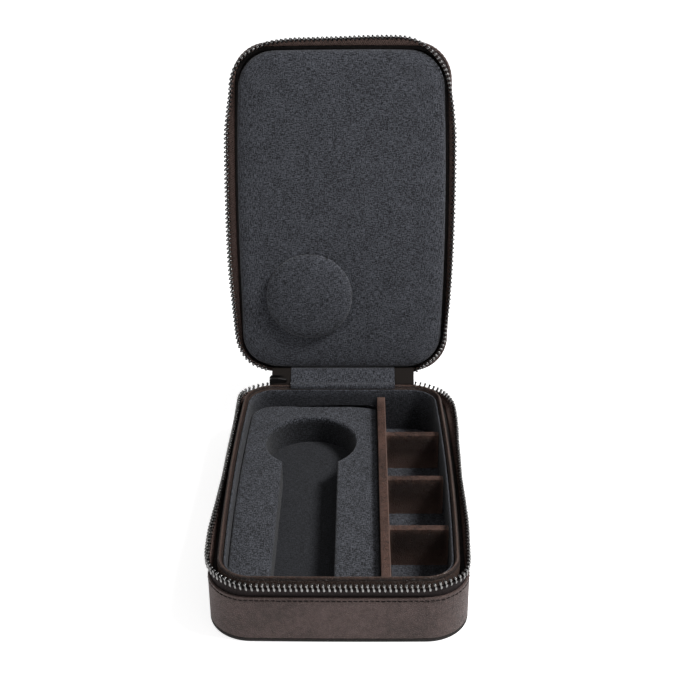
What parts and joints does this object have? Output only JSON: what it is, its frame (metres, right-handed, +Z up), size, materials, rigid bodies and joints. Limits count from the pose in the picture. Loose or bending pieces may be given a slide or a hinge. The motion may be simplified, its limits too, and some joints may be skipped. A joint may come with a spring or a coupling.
{
  "type": "watch travel case",
  "caption": "Rectangular zip-around travel case with rounded corners: a lid hinged at the back, a round recess with a channel, and small compartments behind dividers.",
  "frame": {"origin": "centre of the flat underside of the base, on the surface that it rests on", "axes": "+Z up, -Y towards the front (the side away from the hinge), +X to the right seen from the front; the lid is open at rest"},
  "size_m": [0.1254, 0.2425, 0.2209],
  "materials": {
    "leather_brown": "dark brown fine-grained leather, semi-matt",
    "leather_divider": "dark brown leather on thin board, semi-matt",
    "lining_fabric": "charcoal heathered woven fabric over foam or board",
    "board": "pressed fibre board",
    "zip_tape": "fine woven tape",
    "zip_metal": "gunmetal plated, semi-gloss"
  },
  "bodies": {
    "base": {"underside_leather": "leather_brown", "base_shell": "board", "base_leather_band": "leather_brown", "base_lip": "leather_brown", "base_zip_tape": "zip_tape", "base_zip_teeth": "zip_metal", "base_zip_stops": "zip_metal", "zip_slider": "zip_metal", "tray_floor": "lining_fabric", "tray_wall": "lining_fabric", "watch_platform": "lining_fabric", "long_divider": "leather_divider", "cross_divider_rear": "leather_divider", "cross_divider_middle": "leather_divider", "cross_divider_front": "leather_divider", "hinge_strip": "lining_fabric", "hinge_spine": "leather_brown"},
    "lid": {"lid_top_leather": "leather_brown", "lid_shell": "board", "lid_leather_band": "leather_brown", "lid_zip_tape": "zip_tape", "lid_zip_teeth": "zip_metal", "lid_zip_stops": "zip_metal", "lid_panel": "lining_fabric", "lid_panel_board": "board", "press_pad": "lining_fabric"},
    "zip_pull": {"zip_pull": "zip_metal"}
  },
  "joints": [
    {"name": "lid_hinge", "type": "hinge", "parent": "base", "child": "lid", "pos_m": [0, 0.0966, 0.0338], "axis": [1, 0, 0], "range_deg": [0, 101], "deforming": ["hinge_strip", "hinge_spine"]},
    {"name": "pull_swing", "type": "hinge", "parent": "base", "child": "zip_pull", "pos_m": [-0.03795, 0.09629, 0.0321], "axis": [-0.0096, 0.2077, 0.9781], "range_deg": [0, 150]}
  ]
}
